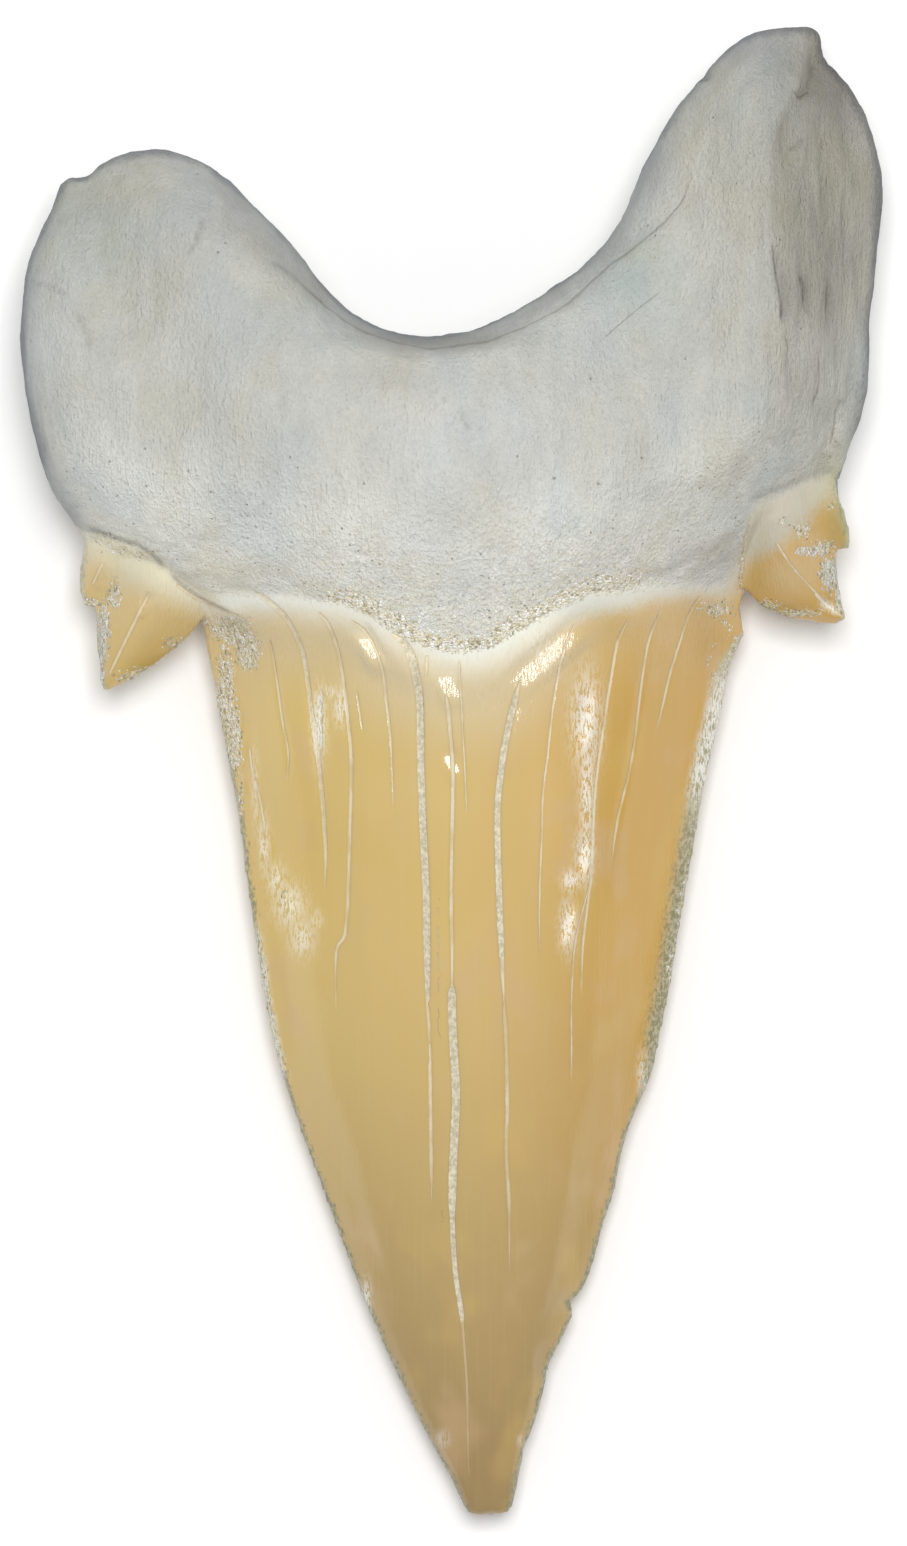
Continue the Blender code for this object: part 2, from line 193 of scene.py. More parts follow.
# Where the root ends and where the clear enameloid begins, on the upper and on the under face.
ROOT_EDGE = photo_line(
    (0, 490), (85, 530), (123, 543), (159, 562), (186, 582), (235, 594), (308, 596), (346, 600),
    (372, 612), (408, 636), (436, 648), (460, 652), (491, 647), (510, 635), (544, 613), (585, 592),
    (613, 588), (648, 588), (693, 588), (723, 584), (741, 540), (752, 512), (785, 496), (836, 474),
    (907, 455),
)
ENAMEL_EDGE = photo_line(
    (0, 525), (88, 556), (120, 580), (150, 594), (190, 606), (225, 614), (255, 612), (300, 614),
    (352, 622), (385, 640), (415, 656), (445, 668), (475, 672), (502, 664), (530, 646), (560, 626),
    (590, 614), (625, 608), (654, 602), (702, 598), (728, 596), (746, 566), (780, 545), (822, 505),
    (850, 482), (907, 465),
)
LABIAL_ROOT_EDGE = np.array([
    (-26, 12.4), (-18.4, 12.0), (-12, 10.6), (-6, 9.4), (0.5, 9.0), (7, 9.9), (13, 12.0), (19.3, 13.6),
    (26, 14),
])
LABIAL_ENAMEL_DROP = 0.9
upside = upper > 0.5
labial_gap = gap_above(LABIAL_ROOT_EDGE)
root_gap = np.where(upside, gap_above(ROOT_EDGE), labial_gap)
enamel_gap = np.where(upside, gap_above(ENAMEL_EDGE), labial_gap + LABIAL_ENAMEL_DROP)
on_root = smoothstep(-0.2, 0.3, root_gap)

# How far each point is from the left and the right outline of the tooth.
ROW = 0.4
rows = np.floor(y / ROW).astype(int)
first_row = rows.min()
rows -= first_row
left_edge = np.full(rows.max() + 1, np.inf)
right_edge = np.full(rows.max() + 1, -np.inf)
np.minimum.at(left_edge, rows, x)
np.maximum.at(right_edge, rows, x)
row_middles = (np.arange(rows.max() + 1) + first_row + 0.5) * ROW
from_left = x - np.interp(y, row_middles, left_edge)
from_right = np.interp(y, row_middles, right_edge) - x
edge_gap = np.minimum(from_left, from_right)

# In the same way, how far each point is from the outline of the root's upper side.
columns = np.floor(x / ROW).astype(int)
first_column = columns.min()
columns -= first_column
top_edge = np.full(columns.max() + 1, -np.inf)
np.maximum.at(top_edge, columns, y)
column_middles = (np.arange(columns.max() + 1) + first_column + 0.5) * ROW
from_top = np.interp(x, column_middles, top_edge) - y

# Smoothing drew the thin edges in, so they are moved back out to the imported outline. The arch
# between the lobes needs none, because it is hollow seen from above.
EDGE_DRAWN_IN = 0.25
CUSPLET_SHARE = 0.25     # of that on the cusplets, which were drawn in less
ROOT_DRAWN_IN = 0.14
TIP_DRAWN_IN = 0.55
off_root = smoothstep(0.5, -0.5, root_gap)
below_cusps = smoothstep(6.0, 2.5, y)
drawn_in = off_root * EDGE_DRAWN_IN * (CUSPLET_SHARE + (1 - CUSPLET_SHARE) * below_cusps)
place[:, 0] -= drawn_in * smoothstep(1.4, 0.0, from_left)
place[:, 0] += drawn_in * smoothstep(1.4, 0.0, from_right)
place[:, 1] -= TIP_DRAWN_IN * smoothstep(-35, -37, y)
in_arch = hill((431.5, 332.5), (6.5, 3))
push = ROOT_DRAWN_IN * smoothstep(0.35, 0.9, side_wall) * (1 - off_root) * (1 - in_arch)
place += facing * push[:, None]

# Places pulled sideways, as with a grab brush: the pixel, the reach and the move, in millimetres.
# They open the notches beside the cusplets, the corner of the left lobe and the right lobe's knob.
PULLS = [
    ((215, 650), (0.7, 2.4), (-0.42, 0)), ((736, 632), (0.6, 1.0), (0.36, 0)),
    ((108, 688), (1.2, 1.2), (0, -0.15)), ((838, 616), (1.4, 0.8), (0, -0.1)),
    ((832, 62), (1.2, 1.3), (-0.48, 0)), ((82, 171), (0.7, 0.5), (0.18, -0.28)),
    ((612, 232), (1.6, 2.6), (0.22, -0.06)), ((840, 484), (0.8, 1.0), (-0.25, 0)),
    ((574, 1303), (0.6, 0.45), (-0.42, 0)), ((531, 1451), (0.4, 0.4), (-0.15, 0)),
    ((548, 1362), (0.5, 0.9), (-0.2, 0)), ((592, 1196), (0.9, 0.5), (0.05, 0)),
    ((696, 92), (1.0, 0.4), (0.1, 0)), ((491, 1517), (0.3, 0.3), (0, 0.12)),
]
for pixel, reach, (pull_x, pull_y) in PULLS:
    strength = hill(pixel, reach)
    place[:, 0] += pull_x * strength
    place[:, 1] += pull_y * strength

# Cracks, each with its width in millimetres, its layer and its line in pixels: drying cracks down
# the crown, then the finer ones on the root and the seams of the cusplets. A point of the mesh
# knows one crack a layer, so cracks that run close together lie on different layers.
CRACKS = [
    (0.09, 0, [(270, 636), (276, 670), (283, 720), (289, 756), (286, 794)]),
    (0.2, 1, [(252, 590), (268, 601), (288, 620), (301, 645), (307, 672), (312, 711), (319, 760),
              (325, 825), (326, 870), (323, 905)]),
    (0.24, 0, [(322, 690), (320, 720), (322, 762)]),
    (0.15, 0, [(318, 604), (331, 622), (339, 651), (344, 682), (348, 713), (352, 764), (350, 840),
               (348, 902), (345, 934), (337, 949), (336, 990), (337, 1066)]),
    (0.07, 1, [(357, 690), (364, 736)]),
    (0.1, 1, [(352, 616), (370, 632), (382, 662), (387, 702), (392, 753), (395, 855)]),
    (0.36, 0, [(392, 628), (408, 645), (416, 670), (420, 702), (421, 764), (423, 825), (426, 886),
               (427, 945), (428, 1010), (430, 1060)]),
    (0.17, 0, [(428, 1000), (430, 1060), (431, 1140), (432, 1212)]),
    (0.09, 1, [(428, 655), (427, 680)]),
    (0.07, 1, [(459, 656), (461, 700), (465, 774), (467, 830)]),
    (0.18, 0, [(446, 690), (450, 730), (453, 780), (451, 880), (452, 945), (452, 1030)]),
    (0.42, 1, [(452, 975), (452, 1010), (454, 1053), (456, 1097), (453, 1162), (452, 1210),
               (453, 1250)]),
    (0.26, 0, [(452, 1205), (453, 1240), (456, 1277), (461, 1310), (464, 1341)]),
    (0.13, 1, [(460, 1290), (464, 1341), (467, 1387), (468, 1440), (470, 1490)]),
    (0.32, 1, [(521, 674), (509, 723), (503, 753), (498, 794), (497, 825), (499, 900), (502, 967),
               (505, 1030)]),
    (0.18, 0, [(503, 990), (506, 1050), (507, 1110), (506, 1151), (509, 1205), (509, 1300)]),
    (0.08, 0, [(576, 612), (562, 651), (552, 706), (547, 753), (542, 794), (541, 835), (539, 886),
               (539, 945), (544, 999)]),
    (0.12, 0, [(630, 608), (617, 641), (610, 678), (603, 723), (597, 764), (593, 804), (591, 855),
               (589, 886), (583, 934), (581, 978), (581, 1036)]),
    (0.11, 1, [(664, 602), (648, 641), (641, 682), (635, 733), (629, 770), (619, 811), (613, 845),
               (608, 891)]),
    (0.11, 0, [(702, 594), (690, 612), (680, 640), (670, 672), (662, 706), (653, 743)]),
    (0.07, 1, [(590, 880), (576, 930), (571, 990), (571, 1043), (571, 1101)]),
    (0.1, 0, [(249, 745), (254, 775), (262, 805), (268, 850)]),
    (0.1, 0, [(284, 274), (320, 303), (350, 325), (385, 341), (425, 350), (480, 345), (520, 332),
              (560, 310), (605, 270), (640, 245), (675, 210), (690, 182), (720, 160)]),
    (0.05, 1, [(598, 348), (632, 318), (668, 290)]),
    (0.08, 1, [(176, 584), (196, 598), (222, 609), (250, 618)]),
    (0.12, 0, [(766, 250), (772, 280), (780, 312), (778, 332)]),
    (0.1, 1, [(799, 282), (802, 296), (800, 314)]),
    (0.1, 0, [(826, 290), (828, 308), (825, 330)]),
    (0.09, 0, [(838, 400), (833, 422), (827, 452)]),
    (0.07, 1, [(788, 97), (800, 99), (814, 91)]),
    (0.06, 1, [(781, 340), (785, 356), (783, 380)]),
    (0.06, 1, [(811, 354), (814, 380), (809, 416)]),
    (0.12, 1, [(749, 516), (743, 535), (741, 570), (736, 598)]),
    (0.07, 0, [(774, 540), (790, 566), (815, 594), (830, 608)]),
    (0.15, 1, [(812, 592), (822, 602), (832, 610), (846, 620)]),
    (0.12, 1, [(153, 590), (138, 619), (120, 655), (107, 682)]),
    (0.07, 0, [(105, 562), (92, 588)]),
]
CRACK_REACH = 1.0
CRACK_KNOWN = 0.5        # beyond this a crack has no width, so that its ends can't show
crack_offset = [np.full(count, CRACK_REACH), np.full(count, CRACK_REACH)]
crack_width = [np.zeros(count), np.zeros(count)]
for width, layer, pixels in CRACKS:
    offset, share = side_of(photo_line(*pixels), CRACK_REACH)
    near = upside & (np.abs(offset) < np.abs(crack_offset[layer]))
    taper = smoothstep(0, 0.10, share) * smoothstep(1, 0.75, share)
    crack_offset[layer] = np.where(near, offset, crack_offset[layer])
    known = np.where(np.abs(offset) < CRACK_KNOWN, width * taper, 0)
    crack_width[layer] = np.where(near, known, crack_width[layer])

# Sand that still sticks to the tooth, in patches and along the cutting edges. A patch is where it
# is, how far it reaches, and how dense it is.
SAND = [
    # The crown's left corner and edge.
    ((232, 630), (1.1, 0.8), 1.2), ((248, 650), (0.7, 1.1), 1.2), ((226, 690), (0.55, 2.8), 1.0),
    ((233, 735), (0.55, 2.2), 0.95), ((240, 790), (0.35, 2.6), 0.55), ((285, 895), (0.5, 0.8), 0.4),
    # The left cusplet and the seam above it.
    ((90, 602), (0.6, 0.3), 0.9), ((105, 630), (0.4, 1.7), 0.95), ((116, 595), (0.45, 0.9), 0.9),
    ((102, 665), (0.25, 1.5), 0.8), ((140, 676), (1.5, 0.4), 0.75), ((178, 645), (1.1, 0.6), 0.7),
    ((206, 622), (0.4, 0.3), 0.8), ((105, 540), (1.2, 0.45), 0.6), ((145, 556), (1.2, 0.5), 0.55),
    ((150, 672), (1.6, 0.35), 0.7), ((186, 645), (0.9, 0.6), 0.6), ((130, 550), (2.0, 0.45), 0.55),
    # The right cusplet.
    ((800, 530), (0.55, 0.55), 0.95), ((782, 523), (0.5, 0.35), 0.7), ((812, 552), (1.2, 0.4), 0.8),
    ((828, 575), (0.6, 1.0), 0.95), ((838, 600), (0.3, 1.2), 0.8), ((762, 606), (1.2, 0.4), 0.9),
    ((788, 613), (1.5, 0.3), 0.9), ((740, 560), (0.25, 2.2), 0.6), ((835, 505), (0.9, 0.5), 0.5),
    ((800, 612), (1.6, 0.35), 0.7), ((822, 548), (1.0, 0.5), 0.8),
    # The crown's right corner and edge, and one crumb on the left lobe.
    ((722, 612), (0.8, 0.7), 0.5), ((714, 655), (0.45, 1.6), 0.36), ((644, 1070), (0.3, 1.3), 0.55),
    ((716, 609), (1.4, 0.55), 0.68), ((712, 680), (0.7, 3.2), 0.4), ((728, 626), (0.5, 1.0), 0.5),
    ((286, 250), (0.2, 0.3), 0.5),
]
sand = np.zeros(count)
for pixel, reach, density in SAND:
    sand = np.maximum(sand, density * hill(pixel, reach))
sand *= upper
right_border = smoothstep(0.50, 0.15, from_right) * smoothstep(8.5, 6.5, y) * smoothstep(-17, -10, y)
left_border = smoothstep(0.45, 0.15, from_left) * smoothstep(-8, -10, y) * smoothstep(-20, -15, y)
edge_density = 0.35 + 0.35 * smoothstep(-0.3, 0.3, lumps_of((1.5, 2.2, 2), 2, 9))
sand = np.maximum(sand, upper * edge_density * (right_border + left_border))

# The fine relief, in millimetres along the surface: lumps, fibres and dents on the root, long
# wrinkles and ridges on its right side, soft lengthwise folds on the crown, and sand.
PATCH_RISE, DENT_RISE, FIBRE_RISE, GRAIN_RISE = 0.12, 0.06, 0.045, 0.025
WRINKLE_RISE, RIDGE_RISE = 0.30, 0.20
CROWN_FOLD_RISE = 0.015
SAND_RISE = 0.10
CRACK_DEPTH = 0.05       # of a crack that is CRACK_STANDARD wide
CRACK_STANDARD = 0.2
patches = lumps_of((6, 7, 6), 3, 1)
cloud = lumps_of((3.2, 4.5, 3), 3, 8)
dents = lumps_of((1.6, 2.6, 1.6), 3, 2)
fibres = lumps_of((0.6, 3.2, 0.9), 3, 3)
folds = lumps_of((1.3, 18, 6), 2, 4)
grains = lumps_of((0.42, 0.42, 0.42), 2, 5)
wrinkles = lumps_of((0.8, 4.5, 4), 3, 6)
right_side = hill((818, 280), (2.6, 10))
ridges = lumps_of((0.5, 3.4, 3), 2, 7)
relief = on_root * (PATCH_RISE * patches + DENT_RISE * dents + FIBRE_RISE * fibres + GRAIN_RISE * grains)
relief += on_root * right_side * (WRINKLE_RISE * wrinkles + RIDGE_RISE * ridges)
relief += (1 - on_root) * CROWN_FOLD_RISE * folds
relief += SAND_RISE * sand * (0.5 + grains)

# Ridges and hollows that stand out in a raking light: half width and height in millimetres, and
# the line that each follows, in pixels.
FOLDS = [
    (0.35, -0.14, [(84, 527), (123, 540), (159, 557), (186, 588), (234, 614)]),
    (0.25, 0.1, [(165, 570), (190, 594), (222, 606), (250, 616)]),
    (0.8, -0.22, [(742, 508), (790, 486), (840, 468)]),
    (0.4, 0.12, [(640, 572), (690, 552), (735, 522)]),
    (0.4, 0.22, [(801, 34), (797, 78), (788, 98), (772, 130), (764, 164), (767, 220), (766, 250),
                 (772, 300)]),
    (0.35, -0.2, [(812, 56), (806, 88), (790, 112)]),
    (0.45, -0.22, [(788, 126), (779, 180), (778, 240)]),
    (0.22, -0.2, [(768, 252), (774, 285), (780, 312), (778, 330)]),
    (0.25, 0.14, [(784, 272), (788, 300), (786, 325)]),
    (0.18, -0.14, [(799, 280), (802, 300), (800, 320)]),
    (0.22, 0.14, [(817, 270), (820, 300), (818, 330)]),
    (0.2, -0.14, [(826, 290), (828, 312), (824, 340)]),
    (0.3, 0.12, [(812, 330), (806, 380), (800, 440)]),
    (0.25, -0.14, [(797, 325), (790, 360), (786, 400)]),
    (0.22, -0.16, [(838, 400), (832, 425), (826, 455)]),
    (0.25, 0.12, [(846, 395), (842, 420), (836, 450)]),
    (0.3, 0.1, [(726, 364), (730, 340), (743, 304)]),
    (0.18, -0.12, [(834, 420), (843, 406), (853, 390)]),
    (0.15, -0.1, [(788, 97), (800, 99), (815, 90)]),
    (0.2, -0.12, [(780, 338), (785, 356), (783, 384)]),
    (0.2, 0.12, [(792, 336), (797, 360), (793, 398)]),
    (0.18, -0.1, [(811, 352), (814, 380), (808, 420)]),
    (0.2, 0.1, [(822, 350), (826, 384), (820, 424)]),
    (0.2, -0.1, [(766, 382), (770, 420), (764, 456)]),
    (0.22, -0.08, [(748, 466), (760, 454), (776, 448)]),
    (0.35, 0.15, [(193, 167), (212, 190), (221, 214), (213, 236), (197, 262)]),
    (0.5, -0.12, [(212, 170), (238, 210), (228, 250)]),
    (0.3, -0.12, [(284, 274), (350, 325), (425, 350), (480, 345), (560, 310), (605, 270), (675, 210),
                  (720, 160)]),
    (0.3, 0.12, [(36, 288), (56, 294), (74, 308), (95, 356)]),
    (0.22, -0.08, [(62, 290), (84, 312), (104, 352)]),
    (0.25, -0.1, [(74, 178), (92, 186), (101, 206)]),
    (0.15, -0.1, [(783, 158), (793, 152), (800, 146)]),
    (0.2, -0.1, [(206, 222), (200, 245), (190, 264)]),
    (0.2, 0.1, [(178, 566), (200, 582), (226, 592)]),
    (0.25, 0.12, [(750, 516), (745, 535), (742, 570), (738, 596)]),
    (0.2, 0.12, [(774, 540), (790, 566), (815, 594), (845, 619)]),
    (0.2, 0.1, [(153, 590), (138, 619), (120, 655), (106, 684)]),
    (0.2, 0.08, [(105, 562), (92, 588)]),
    (0.5, 0.07, [(583, 680), (585, 760), (582, 850), (570, 950)]),
    (0.25, 0.06, [(249, 745), (262, 805), (272, 860), (300, 940)]),
]
for half_width, rise, pixels in FOLDS:
    offset, share = side_of(photo_line(*pixels), 4 * half_width)
    ends = smoothstep(0, 0.12, share) * smoothstep(1, 0.88, share)
    relief += upper * rise * ends * np.exp(-np.minimum(offset / half_width, 9) ** 2)
for offset, width in zip(crack_offset, crack_width):
    lip_reach = 0.4 * width + 0.09
    relief -= CRACK_DEPTH * (width / CRACK_STANDARD) * np.exp(-((offset / lip_reach) ** 2))

# Pits: the pixel, the reach and the depth.
PITS = [
    ((703, 79), 0.30, 0.30), ((660, 225), 0.12, 0.1), ((691, 215), 0.12, 0.1), ((718, 194), 0.12, 0.1),
]
for pixel, reach, depth in PITS:
    relief -= upper * depth * hill(pixel, (reach, reach))

# The enameloid sweeps up to the root's lower edge in a hollow curve. The relief dies away at the
# thin cutting edges, and nothing sinks below the table.
SWEEP, SWEEP_WIDTH, SWEEP_ABOVE = 0.45, 3.0, 5.0
EDGE_RELIEF_LOST = 0.7
above_sweep = np.exp(-((root_gap / SWEEP_ABOVE) ** 2))
sweep = np.where(root_gap > 0, above_sweep, smoothstep(SWEEP_WIDTH, 0, -root_gap))
relief += SWEEP * upper * sweep * smoothstep(9.5, 7.0, np.abs(x - 1))
relief *= 1 - EDGE_RELIEF_LOST * smoothstep(0.6, 0.1, edge_gap) * (1 - on_root)
place += facing * relief[:, None]
place[:, 2] = np.maximum(place[:, 2], 0)

# Small flats on the enameloid, all tilted alike, that shine together in the soft lamp: the middle
# of each in pixels, its direction in degrees, half its length and half its width.
FLAT_SLOPE = (-0.02, -0.085)   # rise towards +X and +Y
FLAT_ROUGHNESS = 0.014
FLATS = [
    ((546, 659), 41, 2.3, 0.75), ((371, 650), -60, 1.1, 0.55), ((449, 688), -75, 1.0, 0.55),
    ((452, 765), -80, 0.8, 0.36), ((584, 858), 86, 0.95, 0.38), ((568, 925), 80, 1.2, 0.38),
    ((586, 722), 84, 1.6, 0.42), ((834, 611), -37, 0.8, 0.26), ((145, 606), 62, 0.6, 0.24),
]
for pixel, direction, half_length, half_width in FLATS:
    off_x, off_y = x - in_mm(pixel)[0], y - in_mm(pixel)[1]
    turn = math.radians(direction)
    lengthways = (off_x * math.cos(turn) + off_y * math.sin(turn)) / half_length
    crossways = (off_y * math.cos(turn) - off_x * math.sin(turn)) / half_width
    share = np.exp(-np.minimum(lengthways**4 + crossways**6, 30)) * upside
    middle = np.hypot(off_x, off_y) < 2 * VOXEL / MM
    level = place[upside & middle, 2].mean()
    flat = level + FLAT_SLOPE[0] * off_x + FLAT_SLOPE[1] * off_y + FLAT_ROUGHNESS * grains
    place[:, 2] += share * (flat - place[:, 2])
mesh.vertices.foreach_set("co", (place * MM).ravel())
mesh.update()
mesh.shade_smooth()


def store(name, values):
    """Keeps one number for each point of the tooth, for the material to read."""
    mesh.attributes.new(name, "FLOAT", "POINT").data.foreach_set("value", values.astype(np.float32))


# White places on the enameloid, each with its reach and density: frost, with painted highlights and
# glints.
FROST_AND_GLINTS = [
    # The streak right of the middle, frost with painted highlights; a painted highlight under the root.
    ((585, 722), (0.7, 2.2), 1.0), ((586, 790), (0.35, 3.0), 0.9), ((584, 855), (0.45, 1.3), 1.0),
    ((570, 880), (0.4, 0.5), 1.0), ((567, 925), (0.4, 1.2), 0.9), ((545, 655), (1.2, 1.2), 0.35),
    # The patch at the left edge, with its tail, and the two chips above it: frost with painted
    # highlights.
    ((290, 905), (0.75, 1.0), 0.9), ((255, 790), (0.18, 1.8), 0.55), ((264, 845), (0.28, 1.4), 0.75),
    ((277, 880), (0.45, 0.8), 0.8), ((302, 937), (0.6, 0.9), 0.75), ((316, 920), (0.35, 0.5), 0.5),
    ((331, 692), (0.35, 0.3), 0.6), ((320, 725), (0.35, 1.6), 0.9), ((341, 708), (0.3, 0.9), 0.7),
    # Chips along the cutting edges, and a painted highlight on the right cusplet's crest.
    ((824, 604), (0.2, 0.2), 1.0), ((829, 607), (0.2, 0.2), 1.0), ((834, 610), (0.2, 0.2), 1.0),
    ((366, 1300), (0.25, 0.9), 0.8), ((443, 1440), (0.35, 0.4), 0.4), ((642, 1075), (0.25, 1.1), 0.55),
    ((521, 1441), (0.2, 0.25), 0.4),
]
# The white runs along the cutting edges are painted glints.
LEFT_EDGE_GLINTS, RIGHT_EDGE_GLINTS = 0.62, 0.95
left_run = smoothstep(0.48, 0.15, from_left) * smoothstep(-7, -8.5, y) * smoothstep(-16, -14, y)
right_run = smoothstep(0.95, 0.35, from_right) * smoothstep(6.5, 3.0, y) * smoothstep(-2.5, 0, y)
frost_and_glints = np.maximum(LEFT_EDGE_GLINTS * left_run, RIGHT_EDGE_GLINTS * right_run)
for pixel, reach, density in FROST_AND_GLINTS:
    frost_and_glints = np.maximum(frost_and_glints, density * hill(pixel, reach))
frost_and_glints *= upper
store("root_gap", root_gap)
store("enamel_gap", enamel_gap)
store("edge_gap", edge_gap)
store("rim_gap", np.minimum(edge_gap, from_top))
store("sand", sand)
store("side_wall", side_wall)
store("patches", patches)
store("cloud", cloud)
store("frost_and_glints", frost_and_glints)
for layer in (0, 1):
    store("crack_offset_" + "ab"[layer], crack_offset[layer])
    store("crack_width_" + "ab"[layer], crack_width[layer])

# Stains, paler places, and painted light and shade: the pixel, the reach in millimetres, and what
# each does to red, green and blue at its middle.
STAINS_LIGHT_AND_SHADE = [
    # The left lobe: stains, and painted shade on its slopes and in a hollow.
    ((60, 200), (2.2, 3.0), (0.93, 0.95, 0.94)), ((110, 240), (2.5, 2.0), (0.92, 0.96, 0.95)),
    ((125, 195), (2.5, 1.2), (1.0, 0.97, 0.88)), ((225, 215), (2.0, 2.5), (0.93, 0.92, 0.93)),
    ((290, 300), (2.0, 1.5), (0.96, 0.94, 0.88)), ((130, 230), (6.5, 5.5), (0.88, 0.88, 0.89)),
    ((135, 455), (1.8, 1.8), (0.92, 0.92, 0.93)), ((38, 360), (0.8, 2.4), (1.12, 1.16, 1.2)),
    # The right lobe and its knob: painted shade on the outer facet and beside the knob, painted light on
    # it.
    ((822, 240), (2.7, 9.0), (0.82, 0.8, 0.76)), ((796, 66), (2.2, 1.7), (0.8, 0.79, 0.78)),
    ((828, 84), (1.2, 2.0), (0.82, 0.81, 0.84)), ((797, 80), (0.45, 1.1), (1.1, 1.08, 1.02)),
    ((752, 48), (1.6, 0.8), (0.92, 0.93, 0.97)), ((806, 400), (2.2, 3.0), (0.9, 0.88, 0.84)),
    ((720, 150), (2.0, 3.0), (0.97, 0.96, 0.9)), ((790, 190), (6.0, 11.0), (0.9, 0.89, 0.88)),
    ((630, 285), (2.2, 2.0), (0.8, 0.88, 0.9)), ((652, 302), (1.5, 1.5), (1.09, 1.09, 1.09)),
    ((788, 455), (1.5, 1.6), (1.02, 1.02, 1.02)), ((648, 170), (1.3, 2.0), (0.79, 0.8, 0.83)),
    ((700, 112), (1.8, 1.5), (0.91, 0.92, 0.94)), ((740, 62), (1.5, 1.2), (0.91, 0.92, 0.95)),
    ((836, 98), (0.9, 2.4), (0.86, 0.86, 0.88)),
    # The middle of the root and its lower edge: painted light on the bulge, painted shade at the arch.
    ((690, 552), (2.4, 0.7), (0.94, 0.89, 0.87)), ((640, 572), (2.0, 0.5), (0.96, 0.92, 0.9)),
    ((250, 572), (3.5, 0.7), (0.99, 0.96, 0.91)), ((430, 346), (5.0, 0.6), (0.8, 0.79, 0.76)),
    ((450, 565), (4.0, 1.8), (1.1, 1.1, 1.12)), ((460, 450), (6.0, 4.0), (1.12, 1.11, 1.12)),
    ((400, 385), (3.5, 0.9), (0.9, 0.9, 0.9)),
    # The neck.
    ((690, 608), (2.0, 0.7), (0.89, 0.9, 0.92)), ((262, 610), (2.2, 0.6), (0.89, 0.9, 0.92)),
    ((575, 610), (1.4, 0.6), (0.92, 0.93, 0.95)), ((708, 640), (0.9, 1.8), (0.89, 0.87, 0.8)),
    ((690, 600), (0.8, 0.5), (0.93, 0.92, 0.88)), ((460, 650), (2.6, 0.6), (0.94, 0.94, 0.95)),
    ((250, 606), (2.6, 0.45), (1.08, 1.14, 1.22)),
    # The crown, with a painted highlight beside the streak of frost.
    ((290, 860), (2.0, 6.0), (1.02, 0.99, 0.84)), ((628, 860), (1.6, 6.5), (1.02, 0.98, 0.84)),
    ((580, 1060), (2.2, 3.0), (0.98, 0.96, 1.02)), ((485, 1480), (2.0, 4.0), (0.88, 0.86, 0.84)),
    ((290, 720), (2.4, 3.0), (1.06, 1.08, 1.08)), ((550, 800), (1.2, 4.0), (1.07, 1.08, 1.13)),
    ((420, 790), (4.0, 1.6), (1.03, 1.04, 1.06)), ((608, 860), (0.9, 1.8), (0.94, 0.94, 0.9)),
    # The cusplets.
    ((855, 500), (1.6, 2.0), (0.95, 0.95, 0.62)), ((160, 650), (1.6, 1.2), (0.92, 0.88, 0.78)),
    ((788, 578), (2.0, 1.2), (1.0, 1.1, 1.45)), ((845, 515), (0.8, 1.6), (0.84, 0.88, 0.92)),
    ((837, 520), (0.5, 1.0), (0.89, 0.92, 0.99)), ((155, 667), (1.8, 0.5), (0.84, 0.82, 0.66)),
    ((778, 608), (1.8, 0.35), (0.82, 0.82, 0.64)), ((830, 578), (0.5, 1.3), (0.86, 0.89, 0.86)),
    ((102, 645), (0.35, 1.8), (0.88, 0.92, 1.02)), ((850, 512), (1.0, 1.6), (0.94, 1.0, 0.8)),
    ((755, 575), (0.7, 1.6), (0.9, 0.88, 0.72)),
]
tint = np.ones((count, 4))
for pixel, reach, change in STAINS_LIGHT_AND_SHADE:
    tint[:, :3] *= 1 + (upper * hill(pixel, reach))[:, None] * (np.array(change) - 1)

# The bone is painted lighter towards the root's lower edge, as light on its bulge, and the film over the
# neck with it.
LOW_ROOT_LIGHT = 0.42
low_root_light = smoothstep(7.5, 1.0, root_gap) * smoothstep(-2.1, 0.25, root_gap) * upper
low_root_light *= 1 - 0.25 * smoothstep(4, 8, x) - 0.45 * smoothstep(11, 14, x)
low_root_light *= smoothstep(-20.5, -16, x)
tint[:, :3] *= 1 + LOW_ROOT_LIGHT * low_root_light[:, None]

# The right lobe's outer facet is browner, and painted darker past its crest as shade where it turns
# away.
FACET_CREST = photo_line(
    (806, 20), (797, 78), (788, 98), (770, 130), (763, 164), (766, 250), (776, 310), (782, 345),
)
FACET_REACH = 8
FACET_TONE_AND_SHADE = (0.84, 0.82, 0.78)
crest_offset = side_of(FACET_CREST, FACET_REACH)[0]
on_facet = smoothstep(-0.1, 0.4, np.where(np.isfinite(crest_offset), crest_offset, -1)) * upper
on_facet *= smoothstep(20.5, 24, y) * smoothstep(0, 0.5, on_root)
tint[:, :3] *= 1 + on_facet[:, None] * (np.array(FACET_TONE_AND_SHADE) - 1)

# Hollows of the fine relief are painted darker than its crests, as shade, and crests lighter, as light.
DENT_SHADE, FIBRE_SHADE, GRAIN_SHADE = 0.05, 0.05, 0.03
WRINKLE_SHADE, RIDGE_SHADE = 0.10, 0.20
DARKEST, LIGHTEST = -0.25, 0.12
relief_shade = DENT_SHADE * dents + FIBRE_SHADE * fibres + GRAIN_SHADE * grains
relief_shade += right_side * (WRINKLE_SHADE * wrinkles + RIDGE_SHADE * ridges)
tint[:, :3] *= 1 + (on_root * upper * np.clip(relief_shade, DARKEST, LIGHTEST))[:, None]
